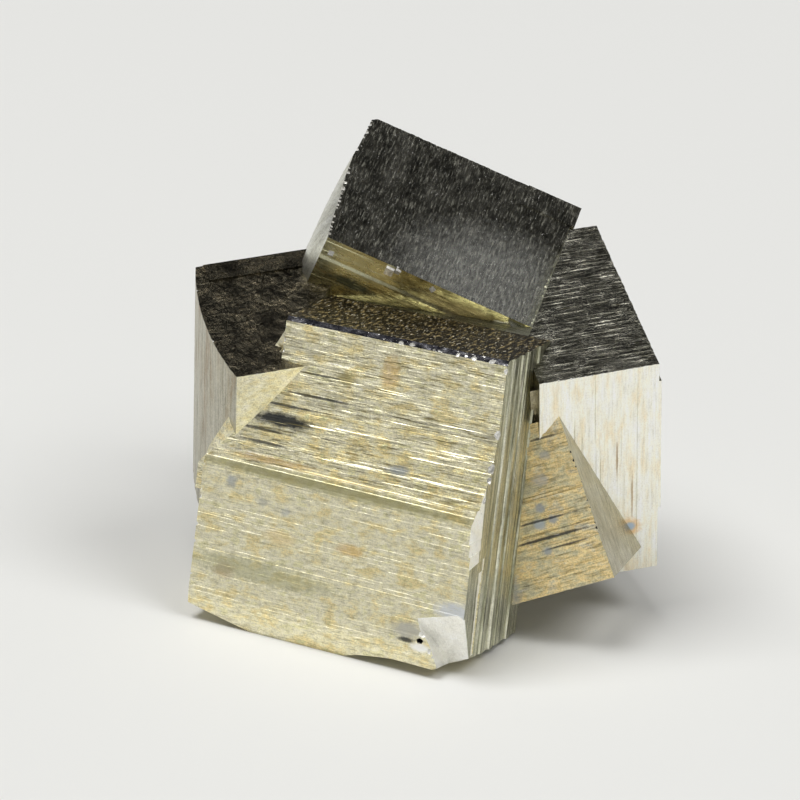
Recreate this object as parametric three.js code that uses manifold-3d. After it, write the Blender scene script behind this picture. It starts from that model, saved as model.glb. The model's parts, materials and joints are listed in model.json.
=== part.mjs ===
// Pyrite specimen: a cluster of cube crystals that grew into one another, about 21 mm across.
// Millimetres, +Z up. The front is towards -Y, +X is to the right as seen from the front, and the origin is in
// the middle of the underside of the bounding box.
import * as THREE from 'three';
import { mergeVertices } from 'three/addons/utils/BufferGeometryUtils.js';
import Module from 'manifold-3d';

const wasm = await Module();
wasm.setup();

// Driving dimensions. Each crystal is a right-angled block with axes of its own: x to its right, y away from
// the viewer, z up. It is placed by one top corner on its front and by its turn in degrees: yaw about the
// upright, pitch that lifts its back, and roll about the axis that runs to its back.
const FRONT = { corner: [0.69, 1.61, 14.58], yaw: -21.3, pitch: -7.2, roll: 0 };
const FRONT_SIZE = { width: 10.8, sideDepth: 5.3, backDepth: 8.6, height: 13.85, sideWidth: 1.1 };

const TOP = { corner: [1.72, 8.68, 13.69], yaw: -11.9, pitch: 17.3, roll: 20.1 };
const TOP_SIZE = { width: 10.15, depth: 9.45, height: 8.8 };
const TOP_STEP = { left: -2.45, right: 0.22, depth: 1.5, over: 0.03, thickness: 1.2, rise: 0.04 };
const TOP_LEDGE = { leftInset: 0.3, right: -0.4, out: 0.09, bottom: -3.2, top: -1.15 };

const LEFT = { corner: [-11.42, 3.85, 12.1], yaw: 19.2, pitch: 17.4, roll: -7.6 };
const LEFT_SIZE = { width: 7.2, depth: 8.1, height: 11.6, bulge: 0.52, backInset: 0.2, bulgeFacets: 9 };
const LEFT_WAVE = 0.05;
const BOW_FULLNESS = 0.8;
const LEFT_PLATE = { left: 0.5, right: 7, front: 5.6, back: 8.05, thickness: 1, rise: 0.12 };

const RIGHT = { corner: [7.56, 5.07, 13.69], yaw: 17.4, pitch: 15.8, roll: -8.9 };
const RIGHT_SIZE = { width: 5.6, depth: 10.7, height: 11.85 };
const RIGHT_BURIED = { width: 3.2, front: 0.7, backInset: 0.4, bottomInset: 1.2, top: -0.9 };
const RIGHT_SWELL = { width: 0.5, out: 0.14, depth: 4, bottom: -8.4, top: -1 };

const SLANTED = { corner: [3.22, 4.49, 11.06], yaw: -14.5, pitch: -4.7, roll: -24.8 };
const SLANTED_SIZE = { width: 6.4, depth: 5.8, height: 7.85 };

const REAR = { corner: [1.2, 8.3, 10.2], yaw: 12, pitch: -4, roll: 5 };
const REAR_SIZE = { width: 9.8, depth: 9.1, height: 12 };

// The slab: a lamella on the front crystal's lower half, turned a little against it. Its axes start at the
// right end of its rim, on its front face.
const SLAB = { corner: [-0.43, -0.79, 7.34], yaw: -25, pitch: -7.2, roll: 0 };
const SLAB_SIZE = { left: -13.57, right: 3 };
// The slab's section, as places away from the viewer and up: foot, back, the slope above the rim, the flat front
// and the under-bevel.
const SLAB_SECTION = [
  [0.5, -8.55],
  [4, -8.55],
  [4, 0.81],
  [0.36, 0.81],
  [0.22, 0.54],
  [0.1, 0.34],
  [0, 0.2],
  [0, -5.95],
  [0.1, -6.55],
  [0.5, -7.55],
];

// Flat cuts: a point on each cut, the compass heading of the side that is cut away (0 is +X, 90 is +Y) and how
// far that direction rises above the level, in degrees.
const SIDE_OF_FRONT = { point: FRONT.corner, heading: FRONT.yaw, rise: 0 };
const CORNER_FRACTURE = { point: [-1.72, 0.42, 0], heading: -106.7, rise: -21.1 };
// The outline of the fracture on the slab's front, across and up.
const FRACTURE_OUTLINE = [
  [-2.05, -4.65],
  [-1.27, -3.96],
  [0, -4.08],
  [0.8, -4.5],
  [1.4, -9],
  [-0.6, -9],
  [-0.9, -6.7],
  [-1.2, -5.9],
  [-1.86, -5.14],
];
const FRACTURE_REACH = { front: -1, back: 3 };
const LIFTED_CORNER = { point: [0, 0, 0.85], heading: -40.2, rise: -63.1 };
const LIFTED_LEFT = { point: [-10.1, 3.13, 0], heading: 155, rise: -76 };

// The facet that cuts off the right end of the slab and of the plates above it. It starts on a line down the
// front crystal's right side, and it turns in steps: each has its levels and the heading that it faces.
const END_FACET_LINE = { low: [-0.07, -0.32, 0], high: [0.2, 0.31, 10] };
const END_FACETS = [
  { top: 10, bottom: 6.3, heading: -31 },
  { top: 6.3, bottom: 5.1, heading: -25 },
  { top: 5.1, bottom: 3.9, heading: -18 },
  { top: 3.9, bottom: 1, heading: -11 },
];

// Growth plates on the front crystal's front face. Each is given on that face, in millimetres from its top right
// corner: top and bottom edge (down), left and right end (to the right, so negative), and how far the plate
// stands out at its left and at its right end.
const FRONT_PLATES = [
  { top: 0.62, bottom: 2.6, left: -10.75, right: -1.2, outLeft: 0.04, outRight: 0.03 },
  { top: 1.5, bottom: 3.6, left: -10.75, right: -0.5, outLeft: 0.08, outRight: 0.02 },
  { top: 2.5, bottom: 4.6, left: -11.2, right: -4.2, outLeft: 0.13, outRight: 0.02 },
  { top: 3.46, bottom: 6.2, left: -12.2, right: -1.4, outLeft: 0.22, outRight: 0.1 },
  { top: 4.1, bottom: 6.4, left: -12.3, right: 0.4, outLeft: 0.29, outRight: 0.16 },
  { top: 4.62, bottom: 6.4, left: -12.4, right: 0.4, outLeft: 0.35, outRight: 0.26 },
  { top: 5.05, bottom: 7.4, left: -12.5, right: 0.4, outLeft: 0.42, outRight: 0.4 },
  { top: 5.45, bottom: 8, left: -12.5, right: 0.4, outLeft: 0.48, outRight: 0.6 },
  { top: 5.85, bottom: 8.6, left: -12.6, right: 0.4, outLeft: 0.54, outRight: 0.86 },
  { top: 6.25, bottom: 8.6, left: -12.7, right: 0.4, outLeft: 0.58, outRight: 1.05 },
  { top: 6.65, bottom: 8.6, left: -12.8, right: 0.4, outLeft: 0.62, outRight: 1.18 },
  { top: 7.05, bottom: 8.6, left: -12.9, right: 0.4, outLeft: 0.66, outRight: 1.32 },
];
// The lowest plates run out to the left as a thin wedge, given by its outline across and up from the same corner.
const WEDGE = {
  outline: [[-14.05, -7.4], [-14.05, -8.6], [-9.5, -8.6], [-9.5, -5.8], [-12.5, -5.8]],
  front: -0.55,
  back: 3.4,
};

// Low bands on the slab's front face: height of the bottom and top edge, left and right end, and how far it
// stands out.
const SLAB_BANDS = [
  { bottom: -0.75, top: 0.05, left: -13.4, right: -0.8, out: 0.05 },
  { bottom: -3.2, top: -2.1, left: -13, right: -3.1, out: 0.05 },
  { bottom: -5.2, top: -3.8, left: -13.3, right: -3.6, out: 0.07 },
];
// A shallow hollow in the slab's foot, across and up.
const FOOT_HOLLOW = {
  outline: [[-5.8, -9], [-5.7, -7.35], [-4.1, -6.97], [-3.2, -6.86], [-1.7, -6.88], [-0.7, -6.9], [-0.6, -9]],
  front: -1,
  back: 1.6,
};

// Ridges that run down a face: the place across the face, the width and how far each stands out.
const SIDE_RIDGES = [
  { from: 0.75, width: 0.5, out: 0.07 },
  { from: 1.75, width: 0.35, out: 0.1 },
  { from: 2.5, width: 0.8, out: 0.06 },
  { from: 3.9, width: 0.45, out: 0.09 },
];
const RIGHT_RIDGES = [
  { from: -5.1, width: 0.7, out: 0.05 },
  { from: -3.9, width: 0.4, out: 0.07 },
  { from: -2.4, width: 0.9, out: 0.05 },
  { from: -0.9, width: 0.35, out: 0.07 },
];
const SLANTED_STEPS = [
  { top: 1.1, bottom: 2.3, right: -0.3, out: 0.05 },
  { top: 3.4, bottom: 4.1, right: -0.15, out: 0.07 },
  { top: 5, bottom: 6.4, right: -0.5, out: 0.08 },
];

// The top crystal's bowed left side: for each level, how far down it starts, and how far the side stands out there,
// by the distance from the front.
const TOP_BOWS = [
  { down: 0, points: [[0, 0], [1.6, 0.13], [3.1, 0.2], [4.6, 0.33], [6.2, 0.38], [7.4, 0.3], [9.2, 0.24]] },
  { down: 0.5, points: [[0, 0], [0.7, 0.2], [1.6, 0.32], [3.1, 0.38], [4.6, 0.44], [6.2, 0.44], [7.6, 0.32]] },
  { down: 1.1, points: [[0, 0], [0.6, 0.3], [1.4, 0.46], [2.8, 0.52], [4.6, 0.52], [6.2, 0.47], [7.8, 0.3]] },
  { down: 1.8, points: [[0, 0], [0.5, 0.36], [1.2, 0.58], [2.6, 0.64], [4.4, 0.6], [6.2, 0.5], [7.8, 0.3]] },
];
// Little crystals on the top crystal's upper front edge: place across, height and size.
const SMALL_CRYSTALS = [
  { x: -9.7, z: -0.8, size: 0.2 },
  { x: -6.95, z: -0.42, size: 0.32 },
  { x: -4.8, z: -0.35, size: 0.18 },
];

// Chips out of the front crystal's front right edge: how far down each lies and how deep it goes.
const EDGE_CHIPS = [
  { down: 0.45, size: 0.2 },
  { down: 3.4, size: 0.32 },
  { down: 4.95, size: 0.34 },
  { down: 5.45, size: 0.26 },
  { down: 6.3, size: 0.22 },
];

const SMALL_TURN = 20;
const CHIP_TURN = 25;
const EDGE_BEVEL = 0.22;
// How far a plate or ridge reaches into the crystal that carries it, and how far a ridge ends from an edge.
const ROOT = 0.5;
const FRONT_ROOT = 1.2;
const RIDGE_ENDS = { top: -0.35, bottom: 0.05 };
const RIGHT_RIDGE_ENDS = { top: -0.12, bottom: 0.04 };
const BACK_BLOCK_INSET = 0.5;
const COLOURS = { pyrite: '#b5a878' };
const SURFACE = { roughness: 0.35, metalness: 1 };

const DEGREE = Math.PI / 180;
const REACH = 30;

// The place and turn of a crystal's axes.
function frameOf({ corner, yaw, pitch, roll }) {
  const turn = new THREE.Euler(pitch * DEGREE, roll * DEGREE, yaw * DEGREE, 'ZXY');
  return new THREE.Matrix4().makeRotationFromEuler(turn).setPosition(...corner);
}

// A closed geometry becomes a solid, in the axes of the given frame.
function solid(geometry, frame = new THREE.Matrix4()) {
  const bare = geometry.clone();
  bare.deleteAttribute('normal');
  bare.deleteAttribute('uv');
  const closed = mergeVertices(bare.applyMatrix4(frame), 1e-5);
  return new wasm.Manifold(new wasm.Mesh({
    numProp: 3,
    vertProperties: new Float32Array(closed.attributes.position.array),
    triVerts: new Uint32Array(closed.index.array),
  }));
}

// A box between two values on each axis.
function box([x0, x1], [y0, y1], [z0, z1], frame) {
  const geometry = new THREE.BoxGeometry(x1 - x0, y1 - y0, z1 - z0);
  return solid(geometry.translate((x0 + x1) / 2, (y0 + y1) / 2, (z0 + z1) / 2), frame);
}

// An outline of x and y points drawn up from z0 to z1.
function upright(outline, [z0, z1], frame) {
  const shape = new THREE.Shape(outline.map(([x, y]) => new THREE.Vector2(x, y)));
  const geometry = new THREE.ExtrudeGeometry(shape, { depth: z1 - z0, bevelEnabled: false });
  return solid(geometry.translate(0, 0, z0), frame);
}

// An outline of y and z points drawn along x, from x0 to x1.
function lengthwise(outline, [x0, x1], frame) {
  const shape = new THREE.Shape(outline.map(([y, z]) => new THREE.Vector2(y, z)));
  const geometry = new THREE.ExtrudeGeometry(shape, { depth: x1 - x0, bevelEnabled: false });
  const axes = new THREE.Matrix4().makeBasis(
    new THREE.Vector3(0, 1, 0),
    new THREE.Vector3(0, 0, 1),
    new THREE.Vector3(1, 0, 0),
  );
  return solid(geometry.applyMatrix4(axes).translate(x0, 0, 0), frame);
}

// Everything that lies beyond a flat cut, as a large block that stands on it.
function beyond({ point, heading, rise }) {
  const out = new THREE.Vector3(
    Math.cos(heading * DEGREE) * Math.cos(rise * DEGREE),
    Math.sin(heading * DEGREE) * Math.cos(rise * DEGREE),
    Math.sin(rise * DEGREE),
  );
  const across = new THREE.Vector3(-out.y, out.x, 0).normalize();
  const along = new THREE.Vector3().crossVectors(out, across);
  const frame = new THREE.Matrix4().makeBasis(out, across, along).setPosition(...point);
  return box([0, REACH], [-REACH, REACH], [-REACH, REACH], frame);
}

// What lies to the right of the stepped end facet.
function beyondEndFacets() {
  const low = new THREE.Vector3(...END_FACET_LINE.low);
  const high = new THREE.Vector3(...END_FACET_LINE.high);
  return join(END_FACETS.map(({ top, bottom, heading }) => {
    const start = low.clone().lerp(high, (top + bottom) / 2 / high.z);
    const levels = box([-REACH, REACH], [-REACH, REACH], [bottom, top]);
    return beyond({ point: start.toArray(), heading, rise: 0 }).intersect(levels);
  }));
}

// An outline of x and z points drawn along y, from y0 to y1.
function crosswise(outline, [y0, y1], frame) {
  const shape = new THREE.Shape(outline.map(([x, z]) => new THREE.Vector2(x, z)));
  const geometry = new THREE.ExtrudeGeometry(shape, { depth: y1 - y0, bevelEnabled: false });
  return solid(geometry.rotateX(90 * DEGREE).translate(0, y1, 0), frame);
}

function join(solids) {
  return solids.reduce((whole, next) => whole.add(next));
}

// The front crystal: a block that is deeper behind than at its right side, a worn front top edge, plates on its
// front and ridges down its right side.
function frontCrystal() {
  const frame = frameOf(FRONT);
  const { width, sideDepth, backDepth, height, sideWidth } = FRONT_SIZE;
  const block = box([-width, 0], [0, sideDepth], [-height, 0], frame);
  const back = box([-width, -sideWidth], [BACK_BLOCK_INSET, backDepth], [-height, 0], frame);
  const plates = FRONT_PLATES.map(({ top, bottom, left, right, outLeft, outRight }) => {
    const plan = [[left, -outLeft], [right, -outRight], [right, FRONT_ROOT], [left, FRONT_ROOT]];
    return upright(plan, [-bottom, -top], frame);
  });
  const wedge = crosswise(WEDGE.outline, [WEDGE.front, WEDGE.back], frame);
  const ridges = SIDE_RIDGES.map(({ from, width: across, out }) => (
    box([-ROOT, out], [from, from + across], [-height + RIDGE_ENDS.bottom, RIDGE_ENDS.top], frame)
  ));
  const lamellae = join([wedge, ...plates]).subtract(beyondEndFacets()).subtract(beyond(SIDE_OF_FRONT));
  return join([block, back, lamellae, ...ridges]);
}

// Worn edges and chips of the front crystal, to be cut away.
function frontWear() {
  const frame = frameOf(FRONT);
  const bevel = new THREE.BoxGeometry(REACH, EDGE_BEVEL * Math.SQRT2, EDGE_BEVEL * Math.SQRT2)
    .rotateX(45 * DEGREE);
  const chips = EDGE_CHIPS.map(({ down, size }) => (
    solid(new THREE.OctahedronGeometry(size).rotateY(CHIP_TURN * DEGREE).translate(0, 0, -down), frame)
  ));
  return join([solid(bevel, frame), ...chips]);
}

// The slab, with its under-bevel, the slope above its rim, its facet at the right end, the fracture at its lower
// right corner and a hollow in its foot.
function slab() {
  const frame = frameOf(SLAB);
  const plate = lengthwise(SLAB_SECTION, [SLAB_SIZE.left, SLAB_SIZE.right], frame);
  const bands = SLAB_BANDS.map((band) => (
    box([band.left, band.right], [-band.out, ROOT], [band.bottom, band.top], frame)
  ));
  const hollow = crosswise(FOOT_HOLLOW.outline, [FOOT_HOLLOW.front, FOOT_HOLLOW.back], frame);
  const fracture = crosswise(FRACTURE_OUTLINE, [FRACTURE_REACH.front, FRACTURE_REACH.back], frame)
    .intersect(beyond(CORNER_FRACTURE));
  return join([plate, ...bands])
    .subtract(hollow)
    .subtract(beyondEndFacets())
    .subtract(beyond(SIDE_OF_FRONT))
    .subtract(beyond(LIFTED_CORNER))
    .subtract(beyond(LIFTED_LEFT))
    .subtract(fracture);
}

// The top crystal, with a small step at the back of its top face and little crystals on its front top edge.
function topCrystal() {
  const frame = frameOf(TOP);
  const { width, depth, height } = TOP_SIZE;
  const bows = TOP_BOWS.map(({ down, points }) => {
    const side = points.map(([along, out]) => [-width - out, along]);
    return upright([[0, 0], [0, depth], [-width, depth], ...side.reverse()], [-height, -down], frame);
  });
  const step = box(
    [TOP_STEP.left, TOP_STEP.right],
    [depth - TOP_STEP.depth, depth + TOP_STEP.over],
    [-TOP_STEP.thickness, TOP_STEP.rise],
    frame,
  );
  const small = SMALL_CRYSTALS.map(({ x, z, size }) => (
    solid(new THREE.OctahedronGeometry(size).rotateZ(SMALL_TURN * DEGREE).translate(x, 0, z), frame)
  ));
  const ledge = box(
    [-width + TOP_LEDGE.leftInset, TOP_LEDGE.right],
    [-TOP_LEDGE.out, ROOT],
    [TOP_LEDGE.bottom, TOP_LEDGE.top],
    frame,
  );
  return join([...bows, step, ledge, ...small]);
}

// The left crystal: its left side is bowed out and stepped into upright facets. It stops at the front crystal's
// top left edge.
function leftCrystal() {
  const frame = frameOf(LEFT);
  const { width, depth, height, bulge, backInset, bulgeFacets } = LEFT_SIZE;
  const side = [];
  for (let i = 0; i <= bulgeFacets; i += 1) {
    const along = i / bulgeFacets;
    const wave = i % 2 === 0 ? 0 : LEFT_WAVE;
    side.push([backInset * along - bulge * Math.sin(along * Math.PI) ** BOW_FULLNESS - wave, along * depth]);
  }
  const plan = [[width, 0], [width, depth], ...side.reverse()];
  const block = upright(plan, [-height, 0], frame);
  const plate = box(
    [LEFT_PLATE.left, LEFT_PLATE.right],
    [LEFT_PLATE.front, LEFT_PLATE.back],
    [-LEFT_PLATE.thickness, LEFT_PLATE.rise],
    frame,
  );
  const { width: frontWidth } = FRONT_SIZE;
  const overFront = box([-frontWidth, REACH], [-REACH, REACH], [0, REACH], frameOf(FRONT));
  return block.add(plate).subtract(overFront);
}

// The right crystal, with ridges down its front face. It stops at the top crystal's right edge.
function rightCrystal() {
  const frame = frameOf(RIGHT);
  const { width, depth, height } = RIGHT_SIZE;
  const block = box([-width, 0], [0, depth], [-height, 0], frame);
  const buried = box(
    [-width - RIGHT_BURIED.width, -width + ROOT],
    [RIGHT_BURIED.front, depth - RIGHT_BURIED.backInset],
    [-height + RIGHT_BURIED.bottomInset, RIGHT_BURIED.top],
    frame,
  );
  const swell = box(
    [-RIGHT_SWELL.width, RIGHT_SWELL.out],
    [0, RIGHT_SWELL.depth],
    [RIGHT_SWELL.bottom, RIGHT_SWELL.top],
    frame,
  );
  const ridges = RIGHT_RIDGES.map(({ from, width: across, out }) => box(
    [from, from + across],
    [-out, ROOT],
    [-height + RIGHT_RIDGE_ENDS.bottom, RIGHT_RIDGE_ENDS.top],
    frame,
  ));
  const overTop = box([-REACH, 0], [-REACH, REACH], [0, REACH], frameOf(TOP));
  return join([block, buried, swell, ...ridges]).subtract(overTop);
}

// The small slanted crystal, stepped across its front face.
function slantedCrystal() {
  const frame = frameOf(SLANTED);
  const { width, depth, height } = SLANTED_SIZE;
  const block = box([-width, 0], [0, depth], [-height, 0], frame);
  const steps = SLANTED_STEPS.map(({ top, bottom, right, out }) => (
    box([-width, right], [-out, ROOT], [-bottom, -top], frame)
  ));
  return join([block, ...steps]);
}

// The crystal behind and below the others, which stands on the floor.
function rearCrystal() {
  const frame = frameOf(REAR);
  const { width, depth, height } = REAR_SIZE;
  return box([-width, 0], [0, depth], [-height, 0], frame);
}

const belowFloor = box([-REACH, REACH], [-REACH, REACH], [-REACH, 0]);
const cluster = join([
  frontCrystal().subtract(frontWear()),
  slab(),
  topCrystal(),
  leftCrystal(),
  rightCrystal(),
  slantedCrystal(),
  rearCrystal(),
]).subtract(belowFloor);

// The joined solid as a geometry, moved so that the middle of the underside of its box is the origin.
function geometryOf(whole) {
  const mesh = whole.getMesh();
  const geometry = new THREE.BufferGeometry();
  geometry.setAttribute('position', new THREE.BufferAttribute(new Float32Array(mesh.vertProperties), 3));
  geometry.setIndex(new THREE.BufferAttribute(new Uint32Array(mesh.triVerts), 1));
  geometry.computeBoundingBox();
  const { min, max } = geometry.boundingBox;
  geometry.translate(-(min.x + max.x) / 2, -(min.y + max.y) / 2, -min.z);
  geometry.computeVertexNormals();
  return geometry;
}

const pyrite = new THREE.MeshStandardMaterial({ color: COLOURS.pyrite, ...SURFACE });
const crystals = new THREE.Mesh(geometryOf(cluster), pyrite);
crystals.name = 'pyrite_cluster';

const group = new THREE.Group();
group.add(crystals);

export default group;
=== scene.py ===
# %% [markdown]
# A cluster of pyrite cubes, about 22 mm across, seen a little from above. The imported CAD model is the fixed
# frame: it gives the place and the size of the whole specimen. This script builds the same crystals again
# with their growth lines, worn edges and tarnish, and lights them as in a studio. Pyrite looks as it does
# for two reasons. Its faces are mirrors of pale brass that show what stands around them, and each face is
# covered with fine parallel steps, which break that mirror up into streaks and glints. So the steps are
# made as real mesh, and the light is placed with care.

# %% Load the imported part
import bisect
import json
import math
import random

import bmesh
import bpy
from mathutils import Matrix, Vector, noise

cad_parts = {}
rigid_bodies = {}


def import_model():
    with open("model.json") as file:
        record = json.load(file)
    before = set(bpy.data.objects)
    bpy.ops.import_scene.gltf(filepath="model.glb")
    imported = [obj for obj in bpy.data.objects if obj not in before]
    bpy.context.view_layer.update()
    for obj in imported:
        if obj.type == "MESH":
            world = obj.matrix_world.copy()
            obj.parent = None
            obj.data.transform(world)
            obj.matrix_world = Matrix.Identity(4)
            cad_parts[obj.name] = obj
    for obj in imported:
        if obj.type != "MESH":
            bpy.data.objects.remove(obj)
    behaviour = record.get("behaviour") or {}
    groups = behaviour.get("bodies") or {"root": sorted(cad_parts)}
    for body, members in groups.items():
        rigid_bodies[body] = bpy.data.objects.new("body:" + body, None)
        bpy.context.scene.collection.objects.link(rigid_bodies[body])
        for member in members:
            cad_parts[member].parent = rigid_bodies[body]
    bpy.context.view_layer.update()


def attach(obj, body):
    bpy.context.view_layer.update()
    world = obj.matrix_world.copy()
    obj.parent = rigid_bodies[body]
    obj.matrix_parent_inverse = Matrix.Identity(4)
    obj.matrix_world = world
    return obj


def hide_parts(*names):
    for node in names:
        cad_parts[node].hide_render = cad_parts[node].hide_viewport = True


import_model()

# %% [markdown]
# Every crystal is a block with axes of its own, x to its right, y away from the viewer and z up, in
# millimetres. It is placed by one top corner of its front and by three turns. A matrix holds both, so a
# crystal can be modelled as a plain upright box and only then be put in its place. The numbers are those of
# the CAD source, which works from another zero point: SHIFT is the step between the two.

# %% Places and turns of the crystals
MM = 0.001
SHIFT = Vector((2.732, -10.067, 0))


def axes_of(corner, yaw, pitch, roll):
    """The matrix that puts a block, in millimetres, in its place."""
    turn = (Matrix.Rotation(math.radians(yaw), 4, "Z")
            @ Matrix.Rotation(math.radians(pitch), 4, "X")
            @ Matrix.Rotation(math.radians(roll), 4, "Y"))
    return Matrix.Translation(Vector(corner) + SHIFT) @ turn


FRONT_CORNER, FRONT_YAW = (0.69, 1.61, 14.58), -21.3
FRONT = axes_of(FRONT_CORNER, FRONT_YAW, -7.2, 0)
SLAB = axes_of((-0.43, -0.79, 7.34), -25, -7.2, 0)
TOP = axes_of((1.72, 8.68, 13.69), -11.9, 17.3, 20.1)
LEFT = axes_of((-11.42, 3.85, 12.1), 19.2, 17.4, -7.6)
RIGHT = axes_of((7.56, 5.07, 13.69), 17.4, 15.8, -8.9)
SLANTED = axes_of((3.22, 4.49, 11.06), -14.5, -4.7, -24.8)
REAR = axes_of((1.2, 8.3, 10.2), 12, -4, 5)
FLOOR = Matrix.Identity(4)
print("crystals placed: front, slab, top, left, right, slanted, rear")

# %% [markdown]
# A new crystal starts as create_cube, stretched to its size. The face that shows growth lines is then cut
# into strips with bisect_plane: one pair of cuts at each step, and a few cuts across them. Moving the new
# vertices in and out gives the steps. A displacement texture could do this too, but it can't make a crisp
# step without millions of faces, and here the cuts fall exactly where the steps are.

# %% Blocks and cuts
SIDES = {"left": (0, -1), "right": (0, 1), "front": (1, -1), "back": (1, 1), "top": (2, 1)}
FACING = 0.9
CUT_MERGE = 1e-6
SKINS = ["front_lamellae", "slab_face", "dark_top", "dark_left", "dark_right", "front_top", "worn_edge_painted_dark",
         "ribbed_side", "olive_face", "pale_face", "gold_face", "cream_face", "warm_side", "grey_side",
         "smoky_side", "end_facet", "under_facet", "fracture", "chip"]
(LAMELLAE, SLAB_FACE, TOP_DARK, LEFT_DARK, RIGHT_DARK, FRONT_TOP, WORN_PAINTED_DARK, RIBBED, OLIVE, PALE, GOLD, CREAM,
 WARM, GREY, SMOKY, END, UNDER, BREAK, CHIP) = range(len(SKINS))


def new_block(x, y, z, skin=RIBBED, **sides):
    """A box between two values on each axis, in millimetres, with a skin for all sides and others by name."""
    bm = bmesh.new()
    middle = Vector(((x[0] + x[1]) / 2, (y[0] + y[1]) / 2, (z[0] + z[1]) / 2))
    size = Matrix.Diagonal((x[1] - x[0], y[1] - y[0], z[1] - z[0], 1))
    bmesh.ops.create_cube(bm, size=1, matrix=Matrix.Translation(middle) @ size)
    bm.normal_update()
    for face in bm.faces:
        face.material_index = skin
    for side, other in sides.items():
        for face in side_faces(bm, side):
            face.material_index = other
    return bm


def side_faces(bm, side):
    """The faces that look towards one side of the block."""
    axis, sign = SIDES[side]
    return [f for f in bm.faces if f.normal[axis] * sign > FACING]


def cut_face(bm, side, axis, places):
    """Cuts the faces on one side across an axis, at each of the places."""
    faces = side_faces(bm, side)
    parts = set(faces)
    for face in faces:
        parts.update(face.edges)
        parts.update(face.verts)
    across = Vector((0, 0, 0))
    across[axis] = 1
    for place in places:
        cut = bmesh.ops.bisect_plane(bm, geom=list(parts), dist=CUT_MERGE, plane_co=across * place,
                                     plane_no=across)
        parts = {g for g in cut["geom"] if g.is_valid}
        parts.update(g for g in cut["geom_cut"] if g.is_valid)
    bm.normal_update()


def even(low, high, parts):
    """Places that divide a length evenly, without its ends."""
    return [low + (high - low) * k / parts for k in range(1, parts)]


# %% [markdown]
# Growth lines are not regular: thick lamellae and thin ones follow each other, some steps are sharp ledges
# and some are worn to a slope, and each stands out more or less along its length. A lamella here has its
# two edges, and the gap at each edge says how much of the step is slope. Slopes of about 35 degrees send
# the light to the viewer, as the white glints of the real faces do, and sharp ledges stay dark.

# %% Growth lines
SHARP = 0.06


def growth_lines(rng, low, high, thin, thick, gaps=(0.1, 0.5), sloped=1):
    """Steps from low to high: a list of (place, gap). A share of them is sloped, and the others are sharp."""
    lines = []
    at = low + rng.uniform(thin, thick)
    while at < high - thin:
        step = thin * (thick / thin) ** rng.random()
        slope = rng.uniform(*gaps)
        lines.append((at, step * (slope if rng.random() < sloped else SHARP)))
        at += step
    return lines


def middles(lines, low, high):
    """The middle of each strip between the lines."""
    edges = [low] + [place for place, gap in lines] + [high]
    return [(a + b) / 2 for a, b in zip(edges, edges[1:])]


def carve(bm, side, along, across, lines, run, lift):
    """Cuts the lines into one side of a block and lifts each strip by lift(number, along, across)."""
    axis, sign = SIDES[side]
    cut_face(bm, side, across, [place + half for place, gap in lines for half in (-gap / 2, gap / 2)])
    cut_face(bm, side, along, run)
    edges = [place for place, gap in lines]
    for v in {v for face in side_faces(bm, side) for v in face.verts}:
        v.co[axis] += sign * lift(bisect.bisect(edges, v.co[across]), v.co[along], v.co[across])
    bm.normal_update()


WANDER_REACH, LINE_APART, SEED_APART = 1.6, 3.71, 9.13
TERRACE_STEEPNESS, TERRACE_LINE_APART, TERRACE_SEED_APART = 6, 5.17, 4.7


def wander(seed, number, place, pace):
    """A smooth value between about -1 and 1 that changes slowly along a line and freely from line to line."""
    return WANDER_REACH * noise.noise(Vector((place * pace, number * LINE_APART, seed * SEED_APART)))


def terrace(seed, number, place, pace, share):
    """0 or 1 with a soft end: 1 where a lamella is there."""
    spot = Vector((place * pace, number * TERRACE_LINE_APART, seed * TERRACE_SEED_APART))
    return min(1, max(0, (noise.noise(spot) + share) * TERRACE_STEEPNESS))


def hidden_lines(bm, side, along, across, low, high, run, seed):
    """Quiet growth lines on a side that the photograph doesn't show."""
    lines = growth_lines(random.Random(seed), low + 0.1, high - 0.1, 0.08, 0.45, (0.2, 0.6))

    def lift(number, place, height):
        """Thin lamellae that come and go."""
        return 0.02 * terrace(seed, number, place, 0.2, 0.1) + 0.008 * wander(seed, number, place, 0.2)

    carve(bm, side, along, across, lines, run, lift)


def profile(points, at):
    """A value read from a row of (place, value) points, straight between them."""
    for (p0, v0), (p1, v1) in zip(points, points[1:]):
        if at <= p1:
            return v0 + (v1 - v0) * max(0, at - p0) / (p1 - p0)
    return points[-1][1]


# %% [markdown]
# Crystals that grew into one another are one solid. The Boolean modifier joins the blocks, and its manifold
# solver does so in a moment, because every block is a closed mesh. Each join is made final at once, so that
# no modifier is left on the specimen. A cut leaves the skin of its cutter on the new faces.

# %% Joining and cutting
skins = [bpy.data.materials.new("pyrite_" + name) for name in SKINS]
REACH = 30


def as_object(bm, name, axes):
    """A finished block becomes an object, still in millimetres."""
    bm.transform(axes)
    if bm.calc_volume(signed=True) < 0:
        bmesh.ops.reverse_faces(bm, faces=bm.faces)
    mesh = bpy.data.meshes.new(name)
    bm.to_mesh(mesh)
    bm.free()
    for skin in skins:
        mesh.materials.append(skin)
    piece = bpy.data.objects.new(name, mesh)
    bpy.context.scene.collection.objects.link(piece)
    return piece


def combine(whole, others, operation):
    """Joins blocks to a piece, or cuts them out of it."""
    for other in others:
        modifier = whole.modifiers.new("combine", "BOOLEAN")
        modifier.operation = operation
        modifier.solver = "MANIFOLD"
        modifier.object = other
        state = bpy.context.evaluated_depsgraph_get()
        mesh = bpy.data.meshes.new_from_object(whole.evaluated_get(state))
        whole.modifiers.clear()
        old = whole.data
        whole.data = mesh
        bpy.data.meshes.remove(old)
        bpy.data.objects.remove(other)
    return whole


def triangles(piece):
    """How many triangles a mesh has."""
    return sum(len(p.vertices) - 2 for p in piece.data.polygons)


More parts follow.
